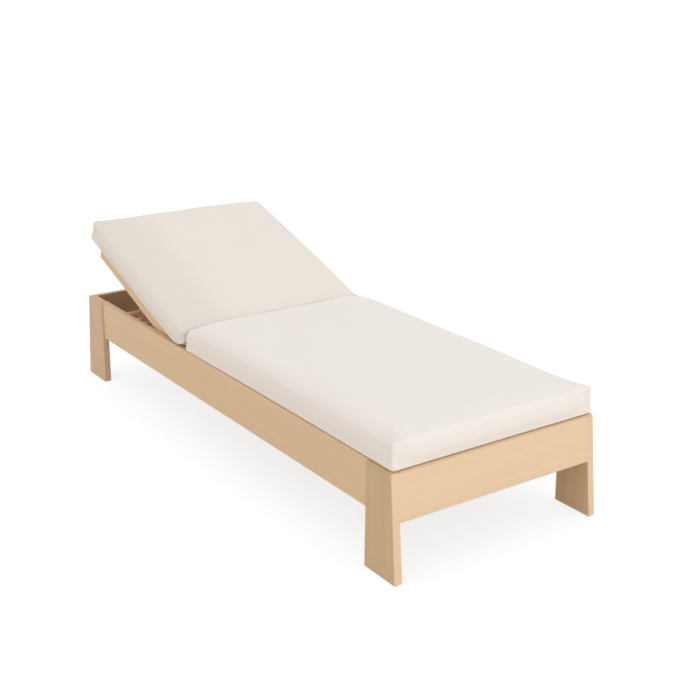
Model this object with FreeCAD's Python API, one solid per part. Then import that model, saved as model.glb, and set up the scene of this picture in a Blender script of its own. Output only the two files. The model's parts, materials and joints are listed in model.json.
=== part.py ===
import FreeCAD, Part
import math
import os

# Adjustable relaxation lounger: a low timber frame with wide raked legs, a slatted
# seat, a slatted backrest that hinges between the side rails, a prop whose foot bar
# drops into notched rails, and a folding cushion. Millimetres, origin on the floor
# under the middle of the frame, +Y towards the head end, +Z up.

# Frame boards
frame_length = 2000.0
frame_width = 741.0
frame_height = 318.0
side_lean = 5.0
end_rake = 29.0
leg_width = 143.0
leg_thickness = 24.0
leg_corner_radius = 7.0
leg_edge_radius = 2.5
rail_thickness = 22.0
rail_depth = 143.0
rail_setback = 5.5
rail_edge_radius = 2.0
end_board_thickness = 23.0
tenon_thickness = 9.0
tenon_shoulder = 18.0
rail_tenon_length = 26.0
board_tenon_length = 12.0
cross_tenon_length = 10.0
joint_clearance = 0.15

# Corner blocks and glides
block_length = 46.0
block_reach = 40.0
block_chamfer = 13.0
block_gap = 6.0
block_base_rise = 3.0
glide_radius = 8.0
glide_height = 2.0
glide_inset = 24.0

# Slats, cleats and cross rails
slat_thickness = 16.0
slat_width = 60.0
slat_spacing = 85.0
slat_edge_chamfer = 2.0
slat_end_gap = 0.6
slat_board_gap = 5.0
seat_slat_pivot_gap = 50.0
back_slat_pivot_gap = 3.0
cleat_width = 20.0
cleat_depth = 24.0
cross_rail_thickness = 22.0
cross_rail_base_rise = 3.0
seat_cross_rail_from_foot = 620.0
seat_cross_rail_depth = 80.0
hinge_cross_rail_pivot_gap = 33.0
hinge_cross_rail_drop = 6.0
head_cross_rail_leg_gap = 2.0

# Backrest
rest_angle = 20.0
raised_angle = 60.0
pivot_to_head = 728.0
stile_thickness = 22.0
stile_depth = 56.0
stile_side_gap = 4.0
stile_end_gap = 8.0
stile_edge_chamfer = 1.5
back_rail_thickness = 22.0
back_rail_depth = 40.0
lower_back_rail_pivot_gap = 28.0

# Pivot bolts
pivot_radius = 5.0
bush_wall = 2.5
bush_flange_radius = 12.0
bush_flange_side_gap = 0.3
insert_wall = 3.0
insert_length = 14.0
pivot_washer_radius = 11.0
pivot_washer_thickness = 1.6
pivot_head_radius = 9.0
pivot_head_height = 5.0
running_clearance = 0.05

# Prop and notched rails
prop_bar_radius = 9.0
prop_bar_chamfer = 1.0
prop_arm_thickness = 18.0
prop_arm_depth = 34.0
prop_arm_side_gap = 10.0
prop_foot_side_gap = 40.0
prop_foot_flat_gap = 2.0
prop_head_bore_depth = 14.0
prop_end_gap = 0.5
notched_rail_thickness = 22.0
notched_rail_side_gap = 40.0
notched_rail_depth = 60.0
notched_rail_tenon = 8.0
notch_count = 5
notch_depth = 9.0
notch_ramp = 26.0
notch_side_clearance = 0.4
tooth_clearance = 0.3
tooth_tip_margin = 7.0
notched_rail_step = 22.0

# Cushions
cushion_thickness = 79.0
cushion_clearance = 0.3
seat_cushion_setback = 9.0
back_cushion_setback = 3.0
cushion_crown = 5.0
cushion_side_bulge = 3.0
cushion_waist = 3.0
cushion_top_radius = 21.0
cushion_base_radius = 6.0
cushion_end_radius = 18.0
corner_sharpness_share = 0.6
fold_pivot_gap = 66.0
fold_seat_gap = 3.0
fold_cut_pivot_gap = 27.0
fold_cut_angle = 37.0
fold_lift = 24.0
flap_thickness = 3.5
flap_slat_gap = 6.0

# Shared by all cuts, and by the choice of the edges that run along a direction
overrun = 5.0
parallel_share = 0.999

# Places worked out from the sizes above
half_length = frame_length / 2
half_width = frame_width / 2
leg_inner_edge = half_length - leg_width
rail_face = half_width - side_lean - rail_setback
rail_inner = rail_face - rail_thickness
rail_base = frame_height - rail_depth
slat_base = frame_height - slat_thickness
stile_face = rail_inner - stile_side_gap
stile_inner = stile_face - stile_thickness
stile_base = slat_base - stile_depth
end_face_top = half_length - end_rake
board_inner_top = end_face_top - end_board_thickness
pivot_place = half_length - pivot_to_head
pivot_height = slat_base - stile_depth / 2
block_top = stile_base - block_gap
block_base = rail_base + block_base_rise
seat_slat_first = slat_board_gap - board_inner_top
seat_slat_end = pivot_place - seat_slat_pivot_gap
back_slat_start = pivot_place + back_slat_pivot_gap
seat_cross_rail_start = seat_cross_rail_from_foot - half_length
hinge_cross_rail_start = pivot_place + hinge_cross_rail_pivot_gap
head_cross_rail_start = leg_inner_edge - head_cross_rail_leg_gap - cross_rail_thickness
stile_end_place = board_inner_top - stile_end_gap
lower_back_rail_start = pivot_place + lower_back_rail_pivot_gap
head_back_rail_start = stile_end_place - back_rail_thickness
notched_rail_face = stile_inner - notched_rail_side_gap
prop_arm_face = notched_rail_face - notched_rail_thickness - prop_arm_side_gap
cushion_base = frame_height + cushion_clearance
fold_end_face = pivot_place - fold_pivot_gap
fold_cut_start = pivot_place + fold_cut_pivot_gap

# Lying flat, the prop reaches from the hinge to just short of the head cross rail
prop_flat_end = head_cross_rail_start - prop_foot_flat_gap - prop_bar_radius
prop_length = (prop_flat_end - pivot_place) / 2


def point(x, y, z):
    return FreeCAD.Vector(x, y, z)


def box(x0, x1, y0, y1, z0, z1):
    return Part.makeBox(x1 - x0, y1 - y0, z1 - z0, point(x0, y0, z0))


def prism_along_x(outline, x0, x1):
    """Extrude an outline of (y, z) corners from x0 to x1."""
    corners = [point(x0, y, z) for y, z in outline]
    face = Part.Face(Part.makePolygon(corners + corners[:1]))
    return face.extrude(point(x1 - x0, 0, 0))


def prism_along_y(outline, y0, y1):
    """Extrude an outline of (x, z) corners from y0 to y1."""
    corners = [point(x, y0, z) for x, z in outline]
    face = Part.Face(Part.makePolygon(corners + corners[:1]))
    return face.extrude(point(0, y1 - y0, 0))


def rod(radius, x0, x1, y, z):
    """A round bar along X."""
    return Part.makeCylinder(radius, x1 - x0, point(x0, y, z), point(1, 0, 0))


def mirrored(shape, across):
    return shape.mirror(point(0, 0, 0), across)


def other_side(shape):
    return mirrored(shape, point(1, 0, 0))


def other_end(shape):
    return mirrored(shape, point(0, 1, 0))


def edges_along(shape, along):
    """Every edge that sets out along one direction."""
    return [edge for edge in shape.Edges
            if len(edge.Vertexes) == 2
            and abs(edge.tangentAt(edge.FirstParameter).dot(along)) > parallel_share]


def softened(shape, radius, along):
    return shape.makeFillet(radius, edges_along(shape, along))


def bevelled(shape, size, along):
    return shape.makeChamfer(size, edges_along(shape, along))


def turned(shape, degrees):
    """Turn a piece of the backrest about its hinge; positive raises the head end."""
    copy = shape.copy()
    copy.rotate(point(0, pivot_place, pivot_height), point(1, 0, 0), degrees)
    return copy


def at_rest(shape):
    return turned(shape, rest_angle)


def save(name, shape):
    shape.exportStep("parts/" + name + ".step")


def save_pair(name, right):
    save(name + "_right", right)
    save(name + "_left", other_side(right))


def leg_face(z):
    """Half width over the legs' outer faces at a height: they lean in evenly."""
    return half_width - side_lean * z / frame_height


def end_face(z):
    """Half length over the raked end faces at a height."""
    return half_length - end_rake * z / frame_height


def lean_wedge(inset):
    """Everything between the two leaning planes that lie inset from the leg faces."""
    low = -overrun
    high = frame_height + overrun
    outline = [(-leg_face(low) + inset, low), (leg_face(low) - inset, low),
               (leg_face(high) - inset, high), (-leg_face(high) + inset, high)]
    reach = half_length + overrun
    return prism_along_y(outline, -reach, reach)


def raked_outline(outer_inset, inner_inset, z0, z1):
    """The (y, z) outline of a board that stands parallel to the head's raked face."""
    return [(end_face(z0) - inner_inset, z0), (end_face(z0) - outer_inset, z0),
            (end_face(z1) - outer_inset, z1), (end_face(z1) - inner_inset, z1)]


def board_tenon(clearance):
    """Stub tenons on both ends of the head board, or the room cut for them."""
    side = (end_board_thickness - tenon_thickness) / 2 - clearance
    outline = raked_outline(side, end_board_thickness - side,
                            rail_base + tenon_shoulder - clearance,
                            frame_height - tenon_shoulder + clearance)
    blank = prism_along_x(outline, -half_width, half_width)
    return blank.common(lean_wedge(leg_thickness - board_tenon_length - clearance))


def rail_tenon(clearance):
    """The right rail's tenon at the head end, or the mortise cut for it."""
    middle = (rail_face + leg_face(rail_base) - leg_thickness) / 2
    half = tenon_thickness / 2 + clearance
    return box(middle - half, middle + half,
               leg_inner_edge - overrun, leg_inner_edge + rail_tenon_length + clearance,
               rail_base + tenon_shoulder - clearance,
               frame_height - tenon_shoulder + clearance)


def leg_blank():
    """Head-end right leg: a wide board, raked at its end and leaning inwards."""
    outline = [(leg_inner_edge, glide_height), (end_face(glide_height), glide_height),
               (end_face(frame_height), frame_height), (leg_inner_edge, frame_height)]
    board = prism_along_x(outline, half_width - leg_thickness - side_lean - overrun,
                          half_width + overrun)
    board = board.common(lean_wedge(0)).cut(lean_wedge(leg_thickness))
    top_corner = [edge for edge in board.Edges
                  if all(abs(v.Z - frame_height) < joint_clearance
                         and v.Y > leg_inner_edge + leg_thickness for v in edge.Vertexes)]
    board = board.makeFillet(leg_corner_radius, top_corner)
    outer = max(board.Faces, key=lambda face: face.CenterOfMass.x)
    rounded = [edge for edge in outer.Edges if edge.BoundBox.ZMax > glide_height + overrun]
    return board.makeFillet(leg_edge_radius, rounded)


def leg():
    return leg_blank().cut([board_tenon(joint_clearance), rail_tenon(joint_clearance)])


def side_rail():
    """Right side rail with a tenon on each end and bores for what it carries."""
    rail = box(rail_inner, rail_face, -leg_inner_edge, leg_inner_edge,
               rail_base, frame_height)
    rail = softened(rail, rail_edge_radius, point(0, 1, 0))
    tenon = rail_tenon(0)
    rail = rail.fuse([tenon, other_end(tenon)])
    cutters = [cross_tenon(rail_spec, joint_clearance) for rail_spec in cross_rails]
    insert_hole = rod(pivot_radius + insert_wall, rail_inner - overrun,
                      rail_inner + insert_length, pivot_place, pivot_height)
    cutters.append(insert_hole)
    return rail.cut(cutters)


def end_board():
    """Head board between the legs; the foot board is its mirror image."""
    board = prism_along_x(raked_outline(0, end_board_thickness, rail_base, frame_height),
                          -half_width, half_width)
    board = softened(board, rail_edge_radius, point(1, 0, 0))
    return board.common(lean_wedge(leg_thickness)).fuse(board_tenon(0))


def block_face(z):
    """The corner block's free end at a height, parallel to the raked head board."""
    return end_face(z) - end_board_thickness - block_length


def corner_block():
    """Glue block in the head-end right corner, against the leg and the head board."""
    inner = leg_face(0) - leg_thickness - block_reach
    outline = raked_outline(end_board_thickness, end_board_thickness + block_length,
                            block_base, block_top)
    blank = prism_along_x(outline, inner, half_width).common(lean_wedge(leg_thickness))
    free_edge = [edge for edge in blank.Edges
                 if all(v.X < inner + joint_clearance and v.Y < block_face(v.Z) + joint_clearance
                        for v in edge.Vertexes)]
    return blank.makeChamfer(block_chamfer, free_edge)


def glides():
    """Two round glides under every leg."""
    x = leg_face(0) - leg_thickness / 2
    corner = [Part.makeCylinder(glide_radius, glide_height, point(x, y, 0))
              for y in (leg_inner_edge + glide_inset, half_length - glide_inset)]
    side = corner + [other_end(solid) for solid in corner]
    return Part.makeCompound(side + [other_side(solid) for solid in side])


# Cross rails: start along Y, base and top
cross_rails = [
    (seat_cross_rail_start, slat_base - seat_cross_rail_depth, slat_base),
    (hinge_cross_rail_start, rail_base + cross_rail_base_rise,
     stile_base - hinge_cross_rail_drop),
    (head_cross_rail_start, rail_base + cross_rail_base_rise,
     stile_base - tooth_clearance),
]


def cross_tenon(rail_spec, clearance):
    """Stub tenons of one cross rail across the whole width, or their mortises."""
    start, base, top = rail_spec
    side = (cross_rail_thickness - tenon_thickness) / 2
    reach = rail_inner + cross_tenon_length + clearance
    return box(-reach, reach, start + side - clearance,
               start + cross_rail_thickness - side + clearance,
               base + tenon_thickness - clearance, top - tenon_thickness + clearance)


def cross_rail(rail_spec):
    start, base, top = rail_spec
    bar = box(-rail_inner, rail_inner, start, start + cross_rail_thickness, base, top)
    bar = softened(bar, rail_edge_radius, point(1, 0, 0))
    bar = bar.fuse(cross_tenon(rail_spec, 0))
    socket = notched_tenon(joint_clearance)
    return bar.cut([socket, other_side(socket)])


def notched_tenon(clearance):
    """The right notched rail's stub tenons, from one cross rail into the other."""
    side = (notched_rail_thickness - tenon_thickness) / 2 - clearance
    reach = notched_rail_tenon + clearance
    return box(notched_rail_face - notched_rail_thickness + side, notched_rail_face - side,
               notched_rail_begin - reach, notched_rail_finish + reach,
               notched_rail_base + tenon_thickness - clearance,
               notched_rail_shelf - tenon_thickness + clearance)


# The prop's foot bar runs level at the height of the hinge, because the prop is as
# long as the arm that carries it: a triangle with two equal sides stands on that line.
def foot_place(angle):
    return pivot_place + 2 * prop_length * math.cos(math.radians(angle))


tooth_tip = pivot_height - prop_bar_radius - tooth_clearance
notched_rail_begin = hinge_cross_rail_start + cross_rail_thickness
notched_rail_finish = head_cross_rail_start
notched_rail_base = tooth_tip - notched_rail_depth
notched_rail_shelf = tooth_tip - notched_rail_step


def notch(place):
    """A seat for the bar with a ramp on the hinge side and a stop on the head side."""
    radius = prop_bar_radius + notch_side_clearance
    seat = tooth_tip - notch_depth + radius
    x0 = notched_rail_face - notched_rail_thickness - overrun
    x1 = notched_rail_face + overrun
    seat_round = rod(radius, x0, x1, place, seat)
    low = seat - radius * math.cos(math.radians(rest_angle))
    slope = [(place - radius * math.sin(math.radians(rest_angle)), low),
             (place, seat), (place + radius, seat),
             (place + radius, tooth_tip + overrun),
             (place - notch_ramp - overrun, tooth_tip + overrun),
             (place - notch_ramp, tooth_tip)]
    return seat_round.fuse(prism_along_x(slope, x0, x1))


def notched_rail():
    """Right notched rail: five notches at one pitch, lowered past the last of them."""
    first = foot_place(rest_angle)
    last = foot_place(raised_angle)
    pitch = (first - last) / (notch_count - 1)
    shelf_start = first + prop_bar_radius + notch_side_clearance + tooth_tip_margin
    foot = last - notch_ramp - tooth_tip_margin
    outline = [(notched_rail_begin, notched_rail_base),
               (notched_rail_finish, notched_rail_base),
               (notched_rail_finish, notched_rail_shelf),
               (shelf_start + notched_rail_step / 2, notched_rail_shelf),
               (shelf_start, tooth_tip), (foot, tooth_tip),
               (foot - notched_rail_step, notched_rail_shelf),
               (notched_rail_begin, notched_rail_shelf)]
    rail = prism_along_x(outline, notched_rail_face - notched_rail_thickness,
                         notched_rail_face)
    rail = rail.cut([notch(last + pitch * step) for step in range(notch_count)])
    return rail.fuse(notched_tenon(0)).removeSplitter()


def cleat():
    """Right cleat along the side rail, under the ends of the seat slats."""
    start = -(end_face(slat_base) - end_board_thickness) + slat_board_gap
    bar = box(rail_inner - cleat_width, rail_inner, start, seat_slat_end,
              slat_base - cleat_depth, slat_base)
    room = box(0, half_width, seat_cross_rail_start,
               seat_cross_rail_start + cross_rail_thickness, rail_base, frame_height)
    return bar.cut(room)


def slat(start, half):
    bar = box(-half, half, start, start + slat_width, slat_base, frame_height)
    return bevelled(bar, slat_edge_chamfer, point(1, 0, 0))


def slat_starts(first, last):
    """Even places for slats, about one spacing apart, from edge to edge."""
    run = last - first - slat_width
    steps = round(run / slat_spacing)
    return [first + run * step / steps for step in range(steps + 1)]


def stile():
    """Right backrest stile: a round nose about the hinge, a square head end."""
    bar = box(stile_inner, stile_face, pivot_place, stile_end_place, stile_base, slat_base)
    bar = bar.fuse(rod(stile_depth / 2, stile_inner, stile_face, pivot_place,
                       pivot_height)).removeSplitter()
    bar = bevelled(bar, stile_edge_chamfer, point(0, 1, 0))
    cutters = [
        rod(pivot_radius + running_clearance + bush_wall, stile_inner - overrun,
            stile_face + overrun, pivot_place, pivot_height),
        rod(prop_bar_radius + running_clearance, stile_inner - overrun,
            stile_inner + prop_head_bore_depth, pivot_place + prop_length, pivot_height),
        back_rail_tenon(lower_back_rail_start, joint_clearance),
        back_rail_tenon(head_back_rail_start, joint_clearance),
    ]
    return bar.cut(cutters)


def back_rail_tenon(start, clearance):
    side = (back_rail_thickness - tenon_thickness) / 2 - clearance
    reach = stile_inner + cross_tenon_length + clearance
    return box(-reach, reach, start + side, start + back_rail_thickness - side,
               slat_base - back_rail_depth + tenon_thickness - clearance,
               slat_base - tenon_thickness + clearance)


def back_rail(start):
    bar = box(-stile_inner, stile_inner, start, start + back_rail_thickness,
              slat_base - back_rail_depth, slat_base)
    bar = softened(bar, rail_edge_radius, point(1, 0, 0))
    return bar.fuse(back_rail_tenon(start, 0))


def pivot_bolt():
    """Right shoulder bolt, with its head inside the stile."""
    washer_face = stile_inner - pivot_washer_thickness - bush_flange_side_gap
    shank = rod(pivot_radius, washer_face, rail_inner + insert_length,
                pivot_place, pivot_height)
    head = rod(pivot_head_radius, washer_face - pivot_head_height, washer_face,
               pivot_place, pivot_height)
    return head.fuse(shank)


def pivot_bush():
    """Right flanged bush, pressed in the stile, that turns on the shoulder bolt."""
    tube = rod(pivot_radius + running_clearance + bush_wall, stile_inner, stile_face,
               pivot_place, pivot_height)
    flange = rod(bush_flange_radius, stile_face, rail_inner - bush_flange_side_gap,
                 pivot_place, pivot_height)
    bore = rod(pivot_radius + running_clearance, stile_inner - overrun,
               rail_inner + overrun, pivot_place, pivot_height)
    return tube.fuse(flange).removeSplitter().cut(bore)


def pivot_insert():
    """Right threaded insert, set in the side rail from inside."""
    body = rod(pivot_radius + insert_wall, rail_inner, rail_inner + insert_length,
               pivot_place, pivot_height)
    return body.cut(rod(pivot_radius + running_clearance, rail_inner - overrun,
                        rail_inner + insert_length + overrun, pivot_place, pivot_height))


def pivot_washer():
    disc = rod(pivot_washer_radius, stile_inner - pivot_washer_thickness, stile_inner,
               pivot_place, pivot_height)
    return disc.cut(rod(pivot_radius + running_clearance, stile_inner - overrun,
                        stile_inner + overrun, pivot_place, pivot_height))


def both(solid):
    return Part.makeCompound([other_side(solid), solid])


# The prop is drawn flat, as it lies when the backrest is down, and then turned down
# by the rest angle about its head bar, after the backrest has been turned up by it.
def prop_at_rest(shape):
    piece = at_rest(shape)
    angle = math.radians(rest_angle)
    hinge_y = pivot_place + prop_length * math.cos(angle)
    hinge_z = pivot_height + prop_length * math.sin(angle)
    piece.rotate(point(0, hinge_y, hinge_z), point(1, 0, 0), -2 * rest_angle)
    return piece


def prop_arm():
    """Right prop arm: a flat bar with full round ends, bored for both round bars."""
    head_place = pivot_place + prop_length
    x0 = prop_arm_face - prop_arm_thickness
    bar = box(x0, prop_arm_face, head_place, head_place + prop_length,
              pivot_height - prop_arm_depth / 2, pivot_height + prop_arm_depth / 2)
    ends = [rod(prop_arm_depth / 2, x0, prop_arm_face, place, pivot_height)
            for place in (head_place, head_place + prop_length)]
    holes = [rod(prop_bar_radius + running_clearance, x0 - overrun,
                 prop_arm_face + overrun, place, pivot_height)
             for place in (head_place, head_place + prop_length)]
    return bar.fuse(ends).removeSplitter().cut(holes)


def prop_bar(place, half):
    bar = rod(prop_bar_radius, -half, half, place, pivot_height)
    rims = [edge for edge in bar.Edges if edge.Curve.TypeId == "Part::GeomCircle"]
    return bar.makeChamfer(prop_bar_chamfer, rims)


def cushion_section(y, half, base, top, crown, top_radius, base_radius, bulge):
    """Closed outline across a cushion: flat base, bowed sides, crowned top."""
    slant = math.sqrt(2) / 2
    low_side = base + base_radius
    high_side = top - top_radius
    edges = [Part.makeLine(point(-half + base_radius, y, base), point(half - base_radius, y, base))]
    for side in (1, -1):
        foot_mid = point(side * (half - base_radius + base_radius * slant), y,
                         low_side - base_radius * slant)
        top_mid = point(side * (half - top_radius + top_radius * slant), y,
                        high_side + top_radius * slant)
        edges.append(Part.Arc(point(side * (half - base_radius), y, base), foot_mid,
                              point(side * half, y, low_side)).toShape())
        edges.append(Part.Arc(point(side * half, y, low_side),
                              point(side * (half + bulge), y, (low_side + high_side) / 2),
                              point(side * half, y, high_side)).toShape())
        edges.append(Part.Arc(point(side * half, y, high_side), top_mid,
                              point(side * (half - top_radius), y, top)).toShape())
    edges.append(Part.Arc(point(half - top_radius, y, top), point(0, y, top + crown),
                          point(-half + top_radius, y, top)).toShape())
    return Part.Wire(Part.__sortEdges__(edges))


# Shares of the end rounding, and of the cushion's length, at which sections stand
end_round_shares = (0.0, 0.12, 0.4, 1.0)
length_shares = (0.08, 0.2, 0.35, 0.5, 0.65, 0.8, 0.92)


def cushion(start, finish):
    """A box cushion: rounded ends, sides drawn in between its corners, a crown."""
    length = finish - start
    places = []
    for share in end_round_shares:
        inset = cushion_end_radius * (1 - math.sqrt(1 - (1 - share) ** 2))
        places.append((start + cushion_end_radius * share, inset, 0.0))
        places.append((finish - cushion_end_radius * share, inset, 0.0))
    for share in length_shares:
        places.append((start + length * share, 0.0, math.sin(math.pi * share)))
    sections = []
    for y, inset, fullness in sorted(places):
        corner = corner_sharpness_share + (1 - corner_sharpness_share) * fullness
        sections.append(cushion_section(
            y, rail_face - cushion_side_bulge - inset - cushion_waist * fullness,
            cushion_base + inset * corner_sharpness_share,
            cushion_base + cushion_thickness - inset, cushion_crown * (1 + fullness),
            cushion_top_radius * corner, cushion_base_radius, cushion_side_bulge))
    return Part.makeLoft(sections, True, True)


def head_side_of(y, z, lean, gap):
    """Everything on the head side of a plane that leans towards the head."""
    reach = frame_length
    drop = frame_height
    slope = math.tan(math.radians(lean))
    outline = [(y + gap - drop * slope, z - drop), (y + gap + drop * slope, z + drop),
               (y + reach, z + drop), (y + reach, z - drop)]
    return prism_along_x(outline, -frame_width, frame_width)


def toe_outline(drop, head_reach, roof):
    """The (y, z) outline above the lifted toe line, which falls towards the head end."""
    return [(fold_end_face, cushion_base + fold_lift - drop),
            (pivot_place, cushion_base - drop),
            (head_reach, cushion_base - drop), (head_reach, roof), (fold_end_face, roof)]


def back_pad():
    """The whole back pad at the rest angle, with its toe against the seat pad."""
    pad = at_rest(cushion(fold_end_face - cushion_thickness,
                          end_face_top - back_cushion_setback))
    room = toe_outline(0, frame_length, frame_length)
    return pad.common(prism_along_x(room, -frame_width, frame_width))


def hinge_flap():
    """The strip of cover fabric that joins both pads under the fold."""
    half = rail_face - cushion_base_radius
    above = [prism_along_x(toe_outline(drop, frame_length, frame_length), -half, half)
             for drop in (cushion_clearance + flap_thickness, cushion_clearance)]
    strip = above[0].cut(above[1])
    angle = math.radians(rest_angle)
    slat_corner = (pivot_place + back_slat_pivot_gap * math.cos(angle)
                   - (frame_height - pivot_height) * math.sin(angle))
    return strip.common(box(-half, half, fold_end_face - fold_seat_gap,
                            slat_corner - flap_slat_gap, cushion_base,
                            cushion_base + fold_lift))


os.makedirs("parts", exist_ok=True)

# Frame
head_leg = leg()
save_pair("leg_head", head_leg)
save_pair("leg_foot", other_end(head_leg))
save_pair("side_rail", side_rail())
head_board = end_board()
save("head_board", head_board)
save("foot_board", other_end(head_board))
head_block = corner_block()
save_pair("corner_block_head", head_block)
save_pair("corner_block_foot", other_end(head_block))
save("floor_glides", glides())
for name, rail_spec in zip(("seat_cross_rail", "hinge_cross_rail", "head_cross_rail"),
                           cross_rails):
    save(name, cross_rail(rail_spec))
save_pair("notched_rail", notched_rail())
save_pair("slat_cleat", cleat())
for number, start in enumerate(slat_starts(seat_slat_first, seat_slat_end), 1):
    save("seat_slat_%02d" % number, slat(start, rail_inner - slat_end_gap))

# Hinge hardware
save("pivot_bolts", both(pivot_bolt()))
save("pivot_inserts", both(pivot_insert()))
save("pivot_bushes", both(at_rest(pivot_bush())))
save("pivot_washers", both(at_rest(pivot_washer())))

# Backrest
save_pair("back_stile", at_rest(stile()))
save("back_rail_lower", at_rest(back_rail(lower_back_rail_start)))
save("back_rail_head", at_rest(back_rail(head_back_rail_start)))
for number, start in enumerate(slat_starts(back_slat_start, stile_end_place), 1):
    save("back_slat_%02d" % number, at_rest(slat(start, stile_face)))

# Prop
save_pair("prop_arm", prop_at_rest(prop_arm()))
head_half = stile_inner + prop_head_bore_depth - prop_end_gap
save("prop_head_bar", prop_at_rest(prop_bar(pivot_place + prop_length, head_half)))
save("prop_foot_bar", prop_at_rest(prop_bar(pivot_place + 2 * prop_length,
                                            rail_inner - prop_foot_side_gap)))

# Cushions
save("seat_cushion", cushion(seat_cushion_setback - end_face_top,
                             fold_end_face - fold_seat_gap))
pad = back_pad()
head_part = at_rest(head_side_of(fold_cut_start, frame_height, fold_cut_angle, 0))
toe_limit = at_rest(head_side_of(fold_cut_start, frame_height, fold_cut_angle,
                                 -cushion_clearance))
save("back_cushion", pad.common(head_part))
save("cushion_fold", pad.cut(toe_limit))
save("cushion_hinge_flap", hinge_flap())
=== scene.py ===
import json
import math
import bpy
import numpy as np
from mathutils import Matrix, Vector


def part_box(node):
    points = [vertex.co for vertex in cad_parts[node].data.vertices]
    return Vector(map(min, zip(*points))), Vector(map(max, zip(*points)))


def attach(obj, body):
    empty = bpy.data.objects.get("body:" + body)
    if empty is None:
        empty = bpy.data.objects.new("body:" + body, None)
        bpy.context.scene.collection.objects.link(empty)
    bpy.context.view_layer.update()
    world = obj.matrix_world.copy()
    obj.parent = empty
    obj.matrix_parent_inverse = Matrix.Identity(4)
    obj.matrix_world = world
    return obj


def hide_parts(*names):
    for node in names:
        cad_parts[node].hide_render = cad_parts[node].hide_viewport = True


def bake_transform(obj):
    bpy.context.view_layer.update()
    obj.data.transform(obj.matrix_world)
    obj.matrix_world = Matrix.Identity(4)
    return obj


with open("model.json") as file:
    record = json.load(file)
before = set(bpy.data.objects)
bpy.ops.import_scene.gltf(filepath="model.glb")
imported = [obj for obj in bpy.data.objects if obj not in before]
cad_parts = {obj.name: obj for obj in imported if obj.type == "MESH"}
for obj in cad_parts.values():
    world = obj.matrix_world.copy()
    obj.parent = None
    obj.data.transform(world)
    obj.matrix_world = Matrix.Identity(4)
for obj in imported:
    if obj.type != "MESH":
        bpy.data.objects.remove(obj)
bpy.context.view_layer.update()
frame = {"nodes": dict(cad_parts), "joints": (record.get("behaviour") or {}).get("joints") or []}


# Outer boards of the frame: four wide legs, two side rails, a foot board and a head
# board. Solid pale hardwood, planed, sanded to a matt surface and oiled, with the grain
# along each board and the legs' grain upright. They are housed and glued.
def node(tree, kind, inputs, **settings):
    """Add a shader node. An input is a value, or the output socket that feeds it."""
    made = tree.nodes.new(kind)
    for name, value in settings.items():
        setattr(made, name, value)
    for name, value in inputs.items():
        if isinstance(value, bpy.types.NodeSocket):
            tree.links.new(value, made.inputs[name])
        else:
            made.inputs[name].default_value = value
    return made


def blank_material(name):
    """An empty node material with its tree and a principled shader."""
    material = bpy.data.materials.new(name)
    material.use_nodes = True
    tree = material.node_tree
    tree.nodes.clear()
    shader = node(tree, "ShaderNodeBsdfPrincipled", {})
    out = node(tree, "ShaderNodeOutputMaterial", {"Surface": shader.outputs[0]})
    out.target = "ALL"
    return material, tree, shader


def math_node(tree, operation, first, second=0.0, third=0.0):
    """The result of a Math node on up to three values."""
    return node(tree, "ShaderNodeMath", {0: first, 1: second, 2: third},
                operation=operation).outputs[0]


def mix_colours(tree, share, first, second, **settings):
    """A Mix node of colours has them at its sockets 6 and 7, and its result at 2."""
    return node(tree, "ShaderNodeMix", {0: share, 6: first, 7: second},
                data_type="RGBA", **settings).outputs[2]


ALONG_X, ALONG_Y, UPRIGHT = (0, 0, 0), (0, 0, -90), (0, 90, 0)


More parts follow.
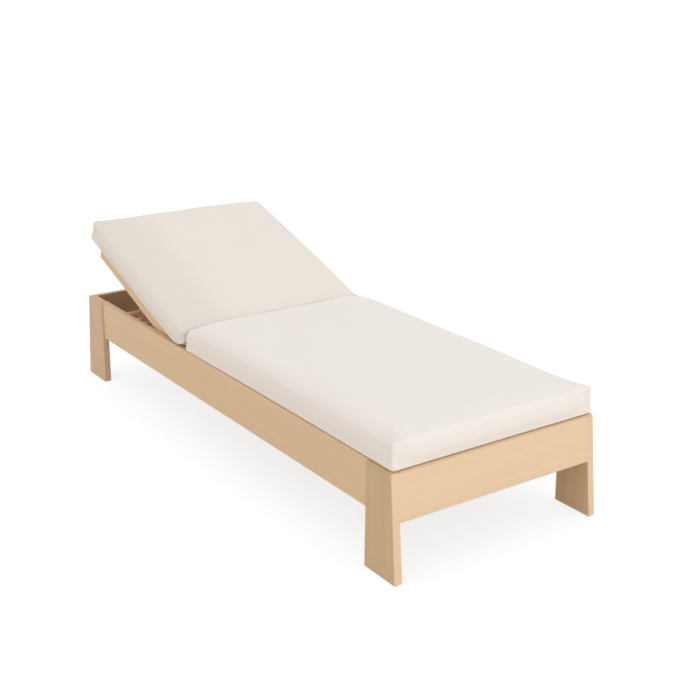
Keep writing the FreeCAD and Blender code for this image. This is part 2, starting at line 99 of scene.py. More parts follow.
def timber(name, pale, deep, turn, place, contrast=1.0, slips_and_shade=()):
    """Sanded timber. The coordinates are turned so that the grain lies on X and squeezed
    along it. Growth rings are waves of the distance from a pith beside the board; soft
    streaks, fine fibres and short pores are noise at three widths. The tone between the
    pale and the deep colour is the weighted sum of rings, streaks and fibres about one
    half. Each slip is a thin piece of another plank, or painted shade where the board
    lies in shade: past a plane, given by its facing and reach, the colour takes its tint
    over twice the fade."""
    material, tree, shader = blank_material(name)
    point = node(tree, "ShaderNodeTexCoord", {}).outputs["Object"]
    turned = node(tree, "ShaderNodeMapping",
                  {"Vector": point, "Rotation": [math.radians(a) for a in turn],
                   "Location": place}).outputs[0]
    along = node(tree, "ShaderNodeMapping",
                 {"Vector": turned, "Scale": (0.035, 1, 1)}).outputs[0]
    rings = node(tree, "ShaderNodeTexWave",
                 {"Vector": along, "Scale": 19.0, "Distortion": 4.5, "Detail": 2.0,
                  "Detail Scale": 0.5, "Detail Roughness": 0.55},
                 wave_type="RINGS", rings_direction="X", wave_profile="SAW").outputs["Fac"]
    streaks = node(tree, "ShaderNodeTexNoise",
                   {"Vector": along, "Scale": 34.0, "Detail": 3.0,
                    "Roughness": 0.55}).outputs["Fac"]
    fibres = node(tree, "ShaderNodeTexNoise",
                  {"Vector": along, "Scale": 520.0, "Detail": 2.0}).outputs["Fac"]
    short = node(tree, "ShaderNodeMapping",
                 {"Vector": turned, "Scale": (0.09, 1, 1)}).outputs[0]
    pores = node(tree, "ShaderNodeTexNoise",
                 {"Vector": short, "Scale": 900.0, "Detail": 1.0}).outputs["Fac"]
    pores = node(tree, "ShaderNodeMapRange",
                 {"Value": pores, "From Min": 0.66, "From Max": 0.76}).outputs[0]
    tone = math_node(tree, "MULTIPLY_ADD", rings, 0.24 * contrast, 0.5 - 0.12 * contrast)
    for figure, weight in ((streaks, 0.9), (fibres, 0.6)):
        tone = math_node(tree, "ADD", tone, math_node(
            tree, "MULTIPLY_ADD", figure, weight * contrast, -0.5 * weight * contrast))
    colour = mix_colours(tree, tone, (*pale, 1), (*deep, 1))
    pore_share, pore_tint = 0.22 * contrast, (0.55, 0.42, 0.30, 1)
    colour = mix_colours(tree, math_node(tree, "MULTIPLY", pores, pore_share), colour,
                         pore_tint, blend_type="MULTIPLY")
    for facing, reach, fade, tint in slips_and_shade:
        out = node(tree, "ShaderNodeVectorMath", {0: point, 1: facing},
                   operation="DOT_PRODUCT")
        past = node(tree, "ShaderNodeMapRange",
                    {"Value": out.outputs["Value"], "From Min": reach - fade,
                     "From Max": reach + fade}).outputs[0]
        colour = mix_colours(tree, past, colour, (*tint, 1), blend_type="MULTIPLY")
    tree.links.new(colour, shader.inputs["Base Color"])
    rough = node(tree, "ShaderNodeMapRange",
                 {"Value": fibres, "From Min": 0.3, "From Max": 0.7,
                  "To Min": 0.5, "To Max": 0.64}).outputs[0]
    tree.links.new(rough, shader.inputs["Roughness"])
    relief = math_node(tree, "SUBTRACT", fibres, pores)
    bump = node(tree, "ShaderNodeBump",
                {"Height": relief, "Strength": 0.25, "Distance": 0.00025}).outputs[0]
    tree.links.new(bump, shader.inputs["Normal"])
    shader.inputs["Specular IOR Level"].default_value = 0.32
    return material


def dress(name, material):
    """Give a CAD node its material and smooth its rounded edges."""
    piece = frame["nodes"][name]
    piece.data.materials.clear()
    piece.data.materials.append(material)
    piece.data.shade_smooth()
    return piece


PALE, DEEP = (0.85, 0.62, 0.405), (0.76, 0.53, 0.325)


def tinted(colour, tint):
    """The product of a colour and a tint, channel by channel."""
    return [share * part for share, part in zip(colour, tint)]


# The legs' raked end edges carry a paler slip, flush with the end boards. The head
# board's inner face, in the shade under the backrest, is darkened with painted shade,
# and at the foot the top edges of the board and legs under the cushion's overhang carry
# painted shade. RAKE is the slope of the ends; a reach is measured square to it.
RAKE = 0.029 / 0.316
SLIP_REACH, HEAD_INNER_SHADE_REACH, SLIP_LINE = 0.998, -0.9795, 0.0008
# painted shade along the top edges of the foot board and the foot legs, under the cushion
BOARD_TOP_SHADE = ((0, 0, 1), 0.3140, 0.0025, (0.85, 0.80, 0.75))
LEG_TOP_SHADE = ((0, 0, 1), 0.3125, 0.0045, (0.92, 0.90, 0.88))


def end_slip(outward, tint):
    """A slip on the raked end that faces outward, -1 at the foot and 1 at the head."""
    return (0, outward, RAKE), SLIP_REACH, SLIP_LINE, tint


OUTER_CONTRAST = 0.65
OUTER_BOARDS = [
    ("side_rail_left", ALONG_Y, (0.3, 0.21, -0.09), (0.905, 0.918, 0.911), []),
    ("side_rail_right", ALONG_Y, (1.7, 0.55, -0.06), (0.89, 0.90, 0.90), []),
    ("foot_board", ALONG_X, (0.9, 1.14, -0.08), (0.963, 0.993, 1.03), [BOARD_TOP_SHADE]),
    # the head board's inner face is darkened with painted shade, the shade inside the frame
    ("head_board", ALONG_X, (2.2, -1.10, -0.05), (0.91, 0.93, 0.95),
     [((0, -1, -RAKE), HEAD_INNER_SHADE_REACH, SLIP_LINE, (0.60, 0.61, 0.60))]),
    ("leg_foot_left", UPRIGHT, (0.4, 0.75, 0.50), (0.757, 0.757, 0.686),
     [end_slip(-1, (1.27, 1.31, 1.50)), LEG_TOP_SHADE]),
    ("leg_foot_right", UPRIGHT, (1.1, 0.80, -0.24), (0.895, 0.875, 0.85),
     [end_slip(-1, (1.05, 1.09, 1.18)), LEG_TOP_SHADE]),
    ("leg_head_left", UPRIGHT, (1.9, -0.79, 0.52), (0.807, 0.793, 0.826),
     [end_slip(1, (1.14, 1.16, 1.14))]),
    ("leg_head_right", UPRIGHT, (2.8, -0.74, -0.22), (0.85, 0.85, 0.86),
     [end_slip(1, (1.08, 1.08, 1.08))]),
]
for name, turn, place, tint, slips_and_shade in OUTER_BOARDS:
    dress(name, timber("timber_" + name, tinted(PALE, tint), tinted(DEEP, tint), turn,
                       place, OUTER_CONTRAST, slips_and_shade))

# Hidden timber of the frame: cross rails, corner blocks, cleats and the two notched
# rails that the prop stands on, all of the same wood, sanded but less closely picked.
INNER_PALE, INNER_DEEP, INNER_CONTRAST = (0.74, 0.52, 0.33), (0.61, 0.40, 0.235), 1.2


def dress_inner(name, turn, place, finish=None):
    """Give a hidden piece its own cut of the inner timber."""
    dress(name, timber(finish or "timber_" + name, INNER_PALE, INNER_DEEP, turn, place,
                       INNER_CONTRAST))


for name in ("seat_cross_rail", "hinge_cross_rail", "head_cross_rail"):
    dress_inner(name, ALONG_X, (0.2 + len(name), 0.3, -0.1))
for side, pith in (("left", 0.35), ("right", -0.30)):
    for part in ("notched_rail_", "slat_cleat_"):
        dress_inner(part + side, ALONG_Y, (len(part), pith, -0.12))
    for end in ("foot", "head"):
        dress_inner("corner_block_%s_%s" % (end, side), UPRIGHT, (0.7, 0.8, pith),
                    "timber_block_%s_%s" % (end, side))

# Slats of the bed and of the backrest: thin boards of the same wood with eased edges,
# screwed down on the cleats and the stiles. Each is cut from another plank.
seat_slats = sorted(name for name in frame["nodes"] if name.startswith("seat_slat"))
back_slats = sorted(name for name in frame["nodes"] if name.startswith("back_slat"))
SLAT_CONTRAST = 1.1
for number, name in enumerate(seat_slats + back_slats):
    lift = 0.06 * math.sin(2.4 * number)
    tint = [1 + 0.05 * math.sin(1.7 * number)] * 3
    dress(name, timber("timber_" + name, tinted(PALE, tint), tinted(INNER_DEEP, tint),
                       ALONG_X, (0.83 * number, -0.2 - lift, -0.42 + lift),
                       SLAT_CONTRAST))

# Backrest frame: two stiles and two rails, turned up twenty degrees about the pivots,
# and the prop, two flat arms between a head bar and a foot bar of round stock.
RAISED = 20
ALONG_STILE, ALONG_PROP = (-RAISED, 0, -90), (RAISED, 0, -90)
STILE_TINT, STILE_CONTRAST = (0.925, 0.946, 0.975), 0.8
for side, pith in (("left", 0.42), ("right", -0.26)):
    dress("back_stile_" + side, timber(
        "timber_stile_" + side, tinted(PALE, STILE_TINT), tinted(DEEP, STILE_TINT),
        ALONG_STILE, (0.5 + pith, pith, -0.30), STILE_CONTRAST))
    dress_inner("prop_arm_" + side, ALONG_PROP, (1.4 + pith, pith, -0.52))
for name in ("back_rail_lower", "back_rail_head", "prop_head_bar"):
    dress(name, timber("timber_" + name, INNER_PALE, INNER_DEEP, ALONG_X,
                       (0.37 * len(name), -0.5, -0.33), SLAT_CONTRAST))
BAR_TINT = (1.0, 1.03, 1.1)
dress("prop_foot_bar", timber("timber_prop_foot_bar", tinted(PALE, BAR_TINT),
                              tinted(DEEP, BAR_TINT), ALONG_X, (4.8, -0.5, -0.33)))


# Hinge hardware: stainless shoulder bolts and washers, brass inserts in the rails and
# nylon bushes in the stiles. Plain turned parts; the glides under the legs are moulded.
def turned_finish(name, colour, metallic, roughness, grain):
    """Fine turning marks: noise drawn out round the part's axis, which lies on X."""
    material, tree, shader = blank_material(name)
    point = node(tree, "ShaderNodeTexCoord", {}).outputs["Object"]
    along = node(tree, "ShaderNodeMapping", {"Vector": point, "Scale": (1, 0.08, 0.08)})
    marks = node(tree, "ShaderNodeTexNoise",
                 {"Vector": along.outputs[0], "Scale": grain, "Detail": 2.0}).outputs["Fac"]
    shade = mix_colours(tree, marks, (*tinted(colour, (0.88, 0.88, 0.88)), 1),
                        (*colour, 1))
    tree.links.new(shade, shader.inputs["Base Color"])
    rough = node(tree, "ShaderNodeMapRange",
                 {"Value": marks, "To Min": roughness - 0.08,
                  "To Max": roughness + 0.08}).outputs[0]
    tree.links.new(rough, shader.inputs["Roughness"])
    shader.inputs["Metallic"].default_value = metallic
    bump = node(tree, "ShaderNodeBump",
                {"Height": marks, "Strength": 0.15, "Distance": 0.0001}).outputs[0]
    tree.links.new(bump, shader.inputs["Normal"])
    return material


steel = turned_finish("steel_satin", (0.62, 0.62, 0.61), 1.0, 0.32, 1400.0)
brass = turned_finish("brass_plain", (0.72, 0.53, 0.25), 1.0, 0.35, 1200.0)
nylon = turned_finish("nylon_natural", (0.80, 0.78, 0.72), 0.0, 0.5, 300.0)
glide = turned_finish("glide_dark", (0.035, 0.032, 0.03), 0.0, 0.55, 500.0)
for name, material in (("pivot_bolts", steel), ("pivot_washers", steel),
                       ("pivot_inserts", brass), ("pivot_bushes", nylon),
                       ("floor_glides", glide)):
    dress(name, material)


# Seat pad: a loose box cushion of firm foam in a cream outdoor cloth. One piece of cloth
# runs over the top and down the sides and is sewn at the upright corners, so the long
# edges are soft and the foot corners pointed. The floor of the cover is sewn in low down.
def graded(count):
    """Places from -1 to 1 that stand closer towards both ends, by adding a sine."""
    s = np.linspace(-1, 1, count + 1)
    return s + 0.65 * np.sin(math.pi * s) / math.pi


def on_plan(u, v, inset, width, length, turns, waist):
    """Where a point of the unit square lies on the cushion's plan. Its distances from the
    nearest side and, along that side, from the diagonal are kept; within the turn of a
    corner the second becomes an angle on an arc, so that nested outlines stay nested."""
    half_w = width / 2 - waist * (1 - v ** 2)
    half_l = length / 2 - 0.4 * waist * (1 - u ** 2)
    from_x, from_y = (1 - np.abs(u)) * (half_w - inset), (1 - np.abs(v)) * (half_l - inset)
    deep = np.minimum(from_x, from_y)
    along = np.abs(from_x - from_y)
    turn = np.array(turns)[2 * (v > 0) + (u > 0)]
    arc = np.maximum(turn - inset - deep, 1e-6)
    angle = math.pi / 4 * (1 - along / arc).clip(0)
    into = arc * (1 - np.cos(angle))
    along = np.where(along < arc, arc * (1 - np.sin(angle)), along)
    beside = from_x <= from_y
    return (np.sign(u) * (half_w - inset - deep - np.where(beside, into, along)),
            np.sign(v) * (half_l - inset - deep - np.where(beside, along, into)))


def pad_mesh(width, length, thick, edges, tips, turns, crown, waist, bows, step=0.0104):
    """A closed cushion on a lattice of the unit square. Up its side rows, inset and height
    follow a profile: a small arc, a bowed side with a groove where the floor is sewn in,
    and a large arc that starts at the lean the side ends with. Its radius goes from its
    own edge's to its corner's tip. Both caps share their border with the rows. Edges and
    bows go left, right, foot, head; tips and turns go foot left, foot right, head left,
    head right. The crown falls with the fourth power of the way to the edges."""
    nx, ny = round(width / step), round(length / step)
    u, v = graded(nx), graded(ny)
    zeros_x, zeros_y = np.zeros(nx, int), np.zeros(ny, int)
    i = np.concatenate([np.arange(nx), zeros_y + nx, np.arange(nx, 0, -1), zeros_y])
    j = np.concatenate([zeros_x, np.arange(ny), zeros_x + ny, np.arange(ny, 0, -1)])
    ring_u, ring_v = u[i], v[j]
    which = np.where(np.abs(ring_u) > 0.9999, (ring_u > 0) + 0, 2 + (ring_v > 0))
    off = np.where(which < 2, (1 - np.abs(ring_v)) * length / 2,
                   (1 - np.abs(ring_u)) * width / 2)
    corner_reach = 0.055
    full = 1 - np.exp(-(off / corner_reach) ** 2)
    tip = np.array(tips)[2 * (ring_v > 0) + (ring_u > 0)]
    radius = tip + (np.array(edges)[which] - tip) * full
    bow = np.array(bows)[which] * full
    low, seam, groove, over_seam = 0.0075, 0.010, 0.0007, 0.0015
    deepest = max(max(edges), max(tips)) + 0.002
    profile = [(low - low * math.sin(a), low - low * math.cos(a))
               for a in np.linspace(0, math.pi / 2, 4)]
    profile += [(groove, seam), (0.0, seam + over_seam)]
    insets = [np.full(len(i), inset) for inset, height in profile]
    heights = [np.full(len(i), height) for inset, height in profile]
    start = seam + over_seam
    lean = np.arctan(0.8 * math.pi * bow / (thick - radius - start))
    rise = thick - radius * (1 - np.sin(lean)) - start
    for share in (0.14, 0.32, 0.5, 0.68, 0.85, 1.0):
        insets.append(-bow * math.sin(math.pi * share ** 0.8))
        heights.append(start + rise * share)
    for share in np.linspace(0, 1, 8)[1:]:
        a = lean + (math.pi / 2 - lean) * share
        insets.append(radius * (np.cos(lean) - np.cos(a)))
        heights.append(thick - radius * (1 - np.sin(a)))
    insets.append(np.full(len(i), deepest))
    heights.append(np.full(len(i), thick))
    insets, heights = np.array(insets), np.array(heights)
    rows, columns = insets.shape

    def crowned(x, y):
        return crown * (1 - (2 * np.abs(x) / width) ** 4).clip(0) \
            * (1 - (2 * np.abs(y) / length) ** 4).clip(0)

    x, y = on_plan(ring_u[None] + 0 * insets, ring_v[None] + 0 * insets, insets,
                   width, length, turns, waist)
    lifted = heights + crowned(x, y) * (heights / thick) ** 6
    side = np.stack([x, y, lifted], -1).reshape(-1, 3)
    gu, gv = [a[1:-1, 1:-1] for a in np.meshgrid(u, v, indexing="ij")]
    x, y = on_plan(gu, gv, deepest, width, length, turns, waist)
    top = np.stack([x, y, thick + crowned(x, y)], -1).reshape(-1, 3)
    x, y = on_plan(gu, gv, low, width, length, turns, waist)
    floor = np.stack([x, y, 0 * x], -1).reshape(-1, 3)

    ring = np.arange(columns)
    after = np.roll(ring, -1)
    quads = [np.stack([row * columns + ring, row * columns + after,
                       (row + 1) * columns + after, (row + 1) * columns + ring], 1)
             for row in range(rows - 1)]
    for first, border, order in ((rows * columns, rows - 1, 1),
                                 (rows * columns + gu.size, 0, -1)):
        grid = np.empty((nx + 1, ny + 1), int)
        grid[1:-1, 1:-1] = first + np.arange(gu.size).reshape(gu.shape)
        grid[i, j] = border * columns + ring
        cap = np.stack([grid[:-1, :-1], grid[1:, :-1], grid[1:, 1:], grid[:-1, 1:]], -1)
        quads.append(cap.reshape(-1, 4)[:, ::order])
    up_side = np.repeat(np.arange(rows), columns)
    return (np.concatenate([side, top, floor]), np.concatenate(quads),
            np.concatenate([np.tile(off, rows), np.ones(2 * gu.size)]),
            np.concatenate([up_side, np.full(gu.size, rows), np.zeros(gu.size)]) / rows)


def mesh_object(name, points, quads):
    """A new piece from its points and quads."""
    mesh = bpy.data.meshes.new(name)
    mesh.from_pydata(points.tolist(), [], quads.tolist())
    mesh.validate()
    made = bpy.data.objects.new(name, mesh)
    bpy.context.scene.collection.objects.link(made)
    return made


def coordinates(mesh):
    """The mesh's points as rows of x, y and z."""
    flat = np.empty(len(mesh.vertices) * 3, np.float32)
    mesh.vertices.foreach_get("co", flat)
    return flat.reshape(-1, 3).astype(float)


def move_to(mesh, points):
    mesh.vertices.foreach_set("co", points.astype(np.float32).ravel())
    mesh.update()


def settle(piece, pinned, most):
    """Let the cover settle over its foam: closed cloth under pressure and no gravity for
    twenty frames, its pinned points held. Most caps every point's move, by its tanh."""
    before = coordinates(piece.data)
    pins = piece.vertex_groups.new(name="pins")
    pins.add(np.flatnonzero(pinned).tolist(), 1.0, "REPLACE")
    cloth = piece.modifiers.new("cloth", "CLOTH")
    settings = cloth.settings
    settings.vertex_group_mass = "pins"
    settings.quality = 5
    settings.use_pressure = True
    settings.uniform_pressure_force = 4.0
    settings.effector_weights.gravity = 0.0
    settings.mass = 0.25
    settings.tension_stiffness = settings.compression_stiffness = 25
    settings.shear_stiffness = 12
    settings.bending_stiffness = 2.0
    cloth.collision_settings.use_collision = False
    frames = 20
    cloth.point_cache.frame_start, cloth.point_cache.frame_end = 1, frames
    scene = bpy.context.scene
    for step in range(1, frames + 1):
        scene.frame_set(step)
    shaped = piece.evaluated_get(bpy.context.evaluated_depsgraph_get())
    moved = coordinates(shaped.to_mesh()) - before
    shaped.to_mesh_clear()
    piece.modifiers.remove(cloth)
    piece.vertex_groups.remove(pins)
    scene.frame_set(1)
    reach = np.linalg.norm(moved, axis=1, keepdims=True) + 1e-9
    move_to(piece.data, before + moved * most * np.tanh(reach / most) / reach)


def subdivided(piece):
    """Bake one level of subdivision into the mesh."""
    modifier = piece.modifiers.new("rounding", "SUBSURF")
    modifier.levels = modifier.render_levels = 1
    shaped = piece.evaluated_get(bpy.context.evaluated_depsgraph_get())
    mesh = bpy.data.meshes.new_from_object(shaped)
    piece.modifiers.clear()
    old = piece.data
    piece.data = mesh
    bpy.data.meshes.remove(old)
    mesh.name = piece.name
    mesh.shade_smooth()


def point_values(mesh, name, values=None):
    """Write or read one number per point of a mesh."""
    if values is not None:
        mesh.attributes.new(name, "FLOAT", "POINT").data.foreach_set(
            "value", values.astype(np.float32))
    read = np.empty(len(mesh.vertices), np.float32)
    mesh.attributes[name].data.foreach_get("value", read)
    return read.astype(float)


def normals(mesh):
    """The mesh's facing at each point."""
    flat = np.empty(len(mesh.vertices) * 3, np.float32)
    mesh.vertex_normals.foreach_get("vector", flat)
    return flat.reshape(-1, 3).astype(float)


def soft_pad(name, cloth, length, edges, tips, turns, waist, bows, most, wave):
    """The settled cushion, rounded by one level and given its corner seams. Each is a
    ridge, the bell curve of the way off the corner, on the left with a valley beside it,
    that fades out at the tip. The top waves a little, by products and sums of sines."""
    points, quads, off, up = pad_mesh(pad_width, length, pad_thick, edges, tips,
                                      turns, pad_crown, waist, bows)
    piece = mesh_object(name, points, quads)
    point_values(piece.data, "off_corner", off)
    point_values(piece.data, "up_side", up)
    held = up < 0.3
    settle(piece, held, most)
    subdivided(piece)
    mesh = piece.data
    off, up = point_values(mesh, "off_corner"), point_values(mesh, "up_side")
    fade = (up / 0.15).clip(0, 1) * ((0.9 - up) / 0.25).clip(0, 1)
    flat = coordinates(mesh)
    x, y, z = flat.T
    on_left = ((-x - pad_width / 2 + 0.004) / 0.003).clip(0, 1)
    ridge = 0.0007 * np.exp(-(off / 0.0040) ** 2) \
        - 0.0022 * on_left * np.exp(-((off - 0.0180) / 0.0050) ** 2)
    lie = 0.0011 * np.sin(13 * x + wave) * np.sin(9 * y - 1.7 * wave) \
        + 0.0007 * np.sin(31 * x - 14 * y + 2 * wave)
    flat += normals(mesh) * (ridge * fade)[:, None]
    flat[:, 2] += lie * (z / pad_thick).clip(0, 1) ** 4
    move_to(mesh, flat)
    remember_cloth(mesh)
    mesh.materials.append(cloth)
    return piece


def remember_cloth(mesh):
    """Keep each point's flat place and facing, so that the weave follows the cover."""
    for name, values in (("cloth_place", coordinates(mesh)),
                         ("cloth_facing", normals(mesh))):
        mesh.attributes.new(name, "FLOAT_VECTOR", "POINT").data.foreach_set(
            "vector", values.astype(np.float32).ravel())


def cover_cloth(name, colour, shade_from, shade_to, shade_tint):
    """Plain-woven outdoor cloth. The weave is the product of two sine waves one thread
    apart in the plane that the cloth faces; uneven yarns are noise drawn out along both
    threads, and a broad mottle keeps the dye from looking flat. Towards its left side the
    top is darkened with painted shade, the shading of its rounded edge: the painted
    shade's share rises smoothly between two places, and with the square of how far the
    cloth faces up."""
    material, tree, shader = blank_material(name)
    place, facing = [
        node(tree, "ShaderNodeAttribute", {}, attribute_name=name).outputs["Vector"]
        for name in ("cloth_place", "cloth_facing")]
    thread = 0.0011
    phase = node(tree, "ShaderNodeVectorMath",
                 {0: place, 1: [2 * math.pi / thread] * 3}, operation="MULTIPLY").outputs[0]
    wave = node(tree, "ShaderNodeVectorMath", {0: phase}, operation="SINE").outputs[0]
    sine = node(tree, "ShaderNodeSeparateXYZ", {0: wave})
    squares = node(tree, "ShaderNodeVectorMath", {0: facing, 1: facing},
                   operation="MULTIPLY").outputs[0]
    share = node(tree, "ShaderNodeSeparateXYZ", {0: squares})
    total = None
    for a, b, c in ((0, 1, 2), (1, 2, 0), (2, 0, 1)):
        product = math_node(tree, "MULTIPLY", sine.outputs[a], sine.outputs[b])
        part = math_node(tree, "MULTIPLY", product, share.outputs[c])
        total = part if total is None else math_node(tree, "ADD", total, part)
    slubs = []
    for scale in ((60, 900, 900), (900, 60, 900)):
        drawn = node(tree, "ShaderNodeVectorMath", {0: place, 1: scale},
                     operation="MULTIPLY").outputs[0]
        slubs.append(node(tree, "ShaderNodeTexNoise",
                          {"Vector": drawn, "Scale": 1.0, "Detail": 1.0}).outputs["Fac"])
    slub = math_node(tree, "ADD", slubs[0], slubs[1])
    mottle = node(tree, "ShaderNodeTexNoise",
                  {"Vector": place, "Scale": 9.0, "Detail": 3.0}).outputs["Fac"]
    tone = math_node(tree, "MULTIPLY_ADD", slub, 0.45, 0.05)
    for part, weight, shift in ((total, 0.16, 0.0), (mottle, 0.3, -0.15)):
        tone = math_node(tree, "ADD", tone,
                         math_node(tree, "MULTIPLY_ADD", part, weight, shift))
    dull, bright = tinted(colour, [0.955] * 3), tinted(colour, [1.03] * 3)
    shade = mix_colours(tree, tone, (*dull, 1), (*bright, 1))
    # painted shade: the up-facing cloth darkens towards the pad's left side
    sideways = node(tree, "ShaderNodeSeparateXYZ", {0: place}).outputs[0]
    painted_shade = node(tree, "ShaderNodeMapRange",
               {"Value": sideways, "From Min": shade_from, "From Max": shade_to},
               interpolation_type="SMOOTHSTEP").outputs[0]
    painted_shade = math_node(tree, "MULTIPLY", painted_shade, share.outputs[2])
    shade = mix_colours(tree, painted_shade, shade, (*shade_tint, 1), blend_type="MULTIPLY")
    tree.links.new(shade, shader.inputs["Base Color"])
    relief = math_node(tree, "MULTIPLY_ADD", slub, 0.6, total)
    bump = node(tree, "ShaderNodeBump",
                {"Height": relief, "Strength": 0.22, "Distance": 0.0003}).outputs[0]
    tree.links.new(bump, shader.inputs["Normal"])
    shader.inputs["Roughness"].default_value = 0.92
    shader.inputs["Specular IOR Level"].default_value = 0.2
    shader.inputs["Sheen Weight"].default_value = 0.12
    shader.inputs["Sheen Roughness"].default_value = 0.5
    return material


# the seat pad's top carries painted shade towards its left side
seat_cloth = cover_cloth("cloth_seat", (0.849, 0.792, 0.744), -0.277, -0.372,
                         (0.91, 0.90, 0.89))
seat_low, seat_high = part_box("seat_cushion")
pad_base = seat_low.z
pad_width, pad_thick, pad_crown = 0.724, 0.081, 0.008

seat_foot = -0.967
seat_length = seat_high.y - seat_foot
seat_pad = soft_pad("seat_pad", seat_cloth, seat_length,
                    edges=(0.013, 0.018, 0.026, 0.015), tips=(0.005, 0.005, 0.038, 0.040),
                    turns=(0.015, 0.009, 0.022, 0.036), waist=0.003,
                    bows=(0.005, 0.004, 0.008, 0.001), most=0.004, wave=0.4)
lying = coordinates(seat_pad.data)
lying += (0, (seat_foot + seat_high.y) / 2, pad_base)
# the loose pad lies a little askew, with its foot end pushed to the right
pad_shift, seat_askew = 0.002, 0.0005
lying[:, 0] += pad_shift + seat_askew * (seat_high.y - lying[:, 1]) / seat_length
# and its foot corner on the right stands up a little
corner_x, corner_y, lift_reach, corner_lift = 0.36, -0.94, 0.11, 0.0035
off_corner = np.hypot(lying[:, 0] - corner_x, lying[:, 1] - corner_y)
up = ((lying[:, 2] - pad_base) / pad_thick).clip(0, 1)
lying[:, 2] += corner_lift * np.exp(-(off_corner / lift_reach) ** 2) * up ** 2
move_to(seat_pad.data, lying)
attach(seat_pad, "frame")
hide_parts("seat_cushion")

# Back pad: the same cushion, shorter, lying on the raised backrest. Its foot end is
# pushed against the seat pad, so the foam there is squeezed upright and lifted, and the
# cloth of its sides puckers.
hinge = next(joint for joint in frame["joints"] if joint["name"] == "backrest_hinge")
pivot_y, pivot_z = hinge["pos_m"][1:]
angle = math.radians(RAISED)
toe_place = seat_high.y + 0.003
head_end = 0.968
# the back pad's top carries painted shade towards its left side
back_cloth = cover_cloth("cloth_back", (0.808, 0.749, 0.684), -0.09, -0.30,
                         (0.945, 0.93, 0.915))
back_pad = soft_pad("back_pad", back_cloth, head_end - toe_place,
                    edges=(0.030, 0.023, 0.012, 0.022), tips=(0.018, 0.018, 0.012, 0.026),
                    turns=(0.006, 0.010, 0.012, 0.020), waist=0.0,
                    bows=(0.007, 0.006, 0.0, 0.008), most=0.004, wave=2.1)


def raised(y, z):
    """Turn flat places about the pivots by the backrest's angle."""
    dy, dz = y - pivot_y, z - pivot_z
    return (pivot_y + dy * math.cos(angle) - dz * math.sin(angle),
            pivot_z + dy * math.sin(angle) + dz * math.cos(angle))


squeezed, toe_floor, toe_top, toe_crown = 0.115, 0.342, 0.384, 0.0095
# each pucker's depth, distance from the toe, slant and width
puckers = ((0.0022, 0.012, 0.006, 0.0028), (0.0012, 0.031, 0.012, 0.0045),
           (-0.0016, 0.021, 0.0, 0.0050))


def pushed_toe(x, y, z):
    """The toe's end face goes to an upright plane and is lifted, most at its floor. The
    shift fades into the pad with the square of what is left of the squeezed length, and
    the sides pucker in narrow valleys that fade towards the floor and the top."""
    away = y - toe_place
    left = (1 - away / squeezed).clip(0, 1.02) ** 2
    height = ((z - pad_base) / pad_thick).clip(0, 1.2)
    face_y, face_z = raised(toe_place, pad_base + pad_thick * height)
    top = toe_top + toe_crown * (1 - (x / 0.36) ** 4).clip(0)
    lifted = toe_floor + (top - toe_floor) * height
    beside = (np.abs(x) / 0.33).clip(0, 1) ** 12
    window = np.sin(math.pi * (height / 1.02).clip(0, 1) ** 1.5)
    valleys = sum(deep * np.exp(-((away - place - slant * (1 - height)) / wide) ** 2)
                  for deep, place, slant, wide in puckers)
    new_y, new_z = raised(y, z)
    return np.stack([x - np.sign(x) * valleys * beside * window,
                     new_y + left * (toe_place - face_y),
                     new_z + left * (lifted - face_z)], 1)


flat = coordinates(back_pad.data) + (0, (toe_place + head_end) / 2, pad_base)
# it lies askew the same way, and its right side thins towards the head end
back_askew, thins_from, thins_over, thinner, narrower = 0.0085, 0.40, 0.42, 0.008, 0.007
flat[:, 0] += pad_shift - back_askew * (flat[:, 1] - toe_place) / (head_end - toe_place)
thinning = ((flat[:, 1] - thins_from) / thins_over).clip(0, 1.2) \
    * (flat[:, 0] / 0.36).clip(0, 1.1) ** 2
flat[:, 2] -= thinner * thinning * ((flat[:, 2] - pad_base) / pad_thick).clip(0, 1)
flat[:, 0] -= narrower * thinning
move_to(back_pad.data, pushed_toe(*flat.T))
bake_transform(back_pad)
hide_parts("back_cushion", "cushion_fold")

# Hinge flap: a folded strip of the cover's cloth, sewn under the toe and to the seat pad.
# It keeps the pads together and hangs a little under the fold.
flap_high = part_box("cushion_hinge_flap")[1]
flap_top, flap_drop = 0.3415, 0.0155
root_deep, edge_deep = 0.0095, 0.0030
columns, around = 120, 32
side = np.linspace(-1, 1, columns + 1)[:, None]
turn = np.linspace(0, 2 * math.pi, around, endpoint=False)[None]
share = (1 - np.cos(turn)) / 2
flap_y = seat_high.y + 0.0012 + (flap_high.y - seat_high.y) * share
hung_from = flap_top - flap_drop * share ** 0.8
body = (root_deep - (root_deep - edge_deep) * share) * (1 - side ** 30).clip(0) ** 0.5
flap_z = hung_from - body * (0.5 - 0.5 * np.tanh(3 * np.sin(turn)))
flap_z = flap_z + 0.0005 * np.sin(21 * side) * share * (1 - share)
points = np.stack([flap_high.x * side + 0 * turn, flap_y + 0 * side, flap_z], -1)


def closed_tube(rows, around):
    """Quads that join each ring of points to the next, round and round."""
    cell = np.arange(rows * around).reshape(rows, around)
    ahead = np.roll(cell, -1, axis=1)
    return np.stack([cell[:-1], cell[1:], ahead[1:], ahead[:-1]], -1).reshape(-1, 4)


flap = mesh_object("hinge_flap", points.reshape(-1, 3), closed_tube(columns + 1, around))
flap.data.shade_smooth()
remember_cloth(flap.data)
flap.data.materials.append(seat_cloth)
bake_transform(flap)
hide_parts("cushion_hinge_flap")

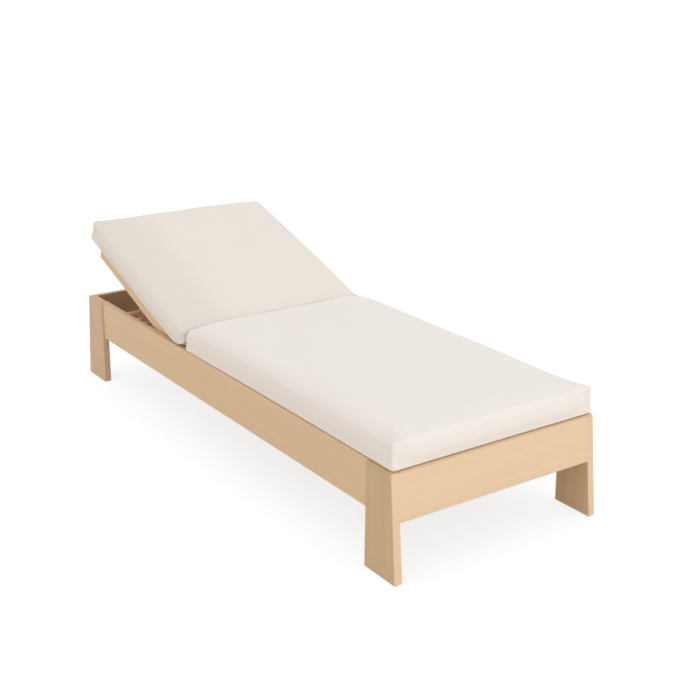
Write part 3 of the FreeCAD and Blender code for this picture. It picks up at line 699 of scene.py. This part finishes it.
# Screws of the corner blocks: sixteen pan heads with a six-lobed drive, two in each
# block's two free faces, driven into the leg and into the end board.
def screw_head(lobes=6, around=36):
    """Points and quads of a pan head on the z axis: rings from the drive's floor up its
    lobed wall, over the crown and down to the seat. Each row is a radius, a height and
    whether its radius swings with the lobes."""
    turn = np.linspace(0, 2 * math.pi, around, endpoint=False)
    lobed = 1 + 0.13 * np.cos(lobes * turn)
    rows = [(0.0002, 0.0014, 1), (0.0022, 0.0015, 1), (0.0024, 0.0031, 1),
            (0.0027, 0.0032, 1), (0.0040, 0.0031, 0), (0.0052, 0.0026, 0),
            (0.0059, 0.0016, 0), (0.0060, 0.0005, 0), (0.0060, 0.0, 0)]
    rings = [np.stack([radius * np.cos(turn) * (lobed if wavy else 1),
                       radius * np.sin(turn) * (lobed if wavy else 1),
                       0 * turn + height], -1) for radius, height, wavy in rows]
    return np.concatenate(rings), closed_tube(len(rows), around)


head_points, head_quads = screw_head()
axial, across, upright = head_points[:, 2], head_points[:, 0], head_points[:, 1]
block_low, block_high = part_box("corner_block_head_right")
block_rake, from_board, from_side = 0.029 / 0.318, 0.033, 0.013
all_points, all_quads = [], []
for end in (1, -1):
    for side in (1, -1):
        for level, into_leg in ((0.014, 1), (0.021, 0), (0.042, 1), (0.049, 0)):
            height = block_high.z - level
            face = block_low.y + block_rake * level
            if into_leg:
                place = (block_low.x - axial, face + from_board + across, height + upright)
            else:
                place = (block_high.x - from_side + across, face - axial, height + upright)
            facing = 1 if (side * end > 0) == bool(into_leg) else -1
            all_quads.append(head_quads[:, ::-facing] + len(all_points) * len(head_points))
            all_points.append(np.stack([side * place[0], end * place[1], place[2]], -1))
screws = mesh_object("block_screws", np.concatenate(all_points), np.concatenate(all_quads))
screws.data.shade_smooth()
screws.data.materials.append(steel)
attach(screws, "frame")

# Room: a white floor that runs out of sight and keeps a faint shadow, even light from
# all round, one wide soft lamp low beyond the foot end, and the photograph's camera.
far = 30.0
floor_mesh = mesh_object("floor", np.array([[-far, -far, 0], [far, -far, 0], [far, far, 0],
                                            [-far, far, 0]]), np.array([[0, 1, 2, 3]]))
floor_finish = bpy.data.materials.new("floor_white")
floor_finish.use_nodes = True
tree = floor_finish.node_tree
tree.nodes.clear()
# the object gets the light of a warm matt floor; the camera sees it near white
matt = node(tree, "ShaderNodeBsdfDiffuse", {"Color": (0.74, 0.66, 0.58, 1)})
shown = node(tree, "ShaderNodeBsdfDiffuse", {"Color": (0.30, 0.315, 0.33, 1)})
glow = node(tree, "ShaderNodeEmission", {"Color": (1, 1, 1, 1), "Strength": 0.765})
seen = node(tree, "ShaderNodeAddShader", {0: shown.outputs[0], 1: glow.outputs[0]})
rays = node(tree, "ShaderNodeLightPath", {})
direct = math_node(tree, "MAXIMUM", rays.outputs["Is Camera Ray"], math_node(
    tree, "MAXIMUM", rays.outputs["Is Glossy Ray"], rays.outputs["Is Transmission Ray"]))
both = node(tree, "ShaderNodeMixShader",
            {0: direct, 1: matt.outputs[0], 2: seen.outputs[0]})
node(tree, "ShaderNodeOutputMaterial", {"Surface": both.outputs[0]})
floor_mesh.data.materials.append(floor_finish)

world = bpy.data.worlds.new("room")
bpy.context.scene.world = world
world.use_nodes = True
tree = world.node_tree
tree.nodes.clear()
even = node(tree, "ShaderNodeBackground", {"Color": (1, 1, 1, 1), "Strength": 1.0})
node(tree, "ShaderNodeOutputWorld", {"Surface": even.outputs[0]})


def placed(name, data, location, rotation):
    """A lamp or a camera put in the room."""
    made = bpy.data.objects.new(name, data)
    bpy.context.scene.collection.objects.link(made)
    made.location, made.rotation_euler = location, rotation
    return made


lamp_data = bpy.data.lights.new("foot_lamp", "AREA")
lamp_data.shape = "RECTANGLE"
lamp_data.size, lamp_data.size_y = 4.0, 1.8
lamp_data.color = (0.85, 0.96, 1.0)
lamp_data.energy = 70.0
lamp_place, aimed_at = np.array([0.6, -7.0, 1.1]), np.array([0.0, 0.0, 0.3])
aim = aimed_at - lamp_place
placed("foot_lamp", lamp_data, lamp_place,
       (math.atan2(math.hypot(aim[0], aim[1]), -aim[2]), 0, math.atan2(-aim[0], aim[1])))

# the camera was solved from the frame's straight edges in the photograph
camera_pitch, camera_heading = -19.52, -34.62
camera_data = bpy.data.cameras.new("camera")
camera_data.lens = 63.9
camera_data.sensor_width = 36.0
bpy.context.scene.camera = placed(
    "camera", camera_data, (-2.12288, -3.32786, 1.7043),
    (math.radians(90 + camera_pitch), 0, math.radians(camera_heading)))
bpy.context.scene.view_settings.view_transform = "Standard"
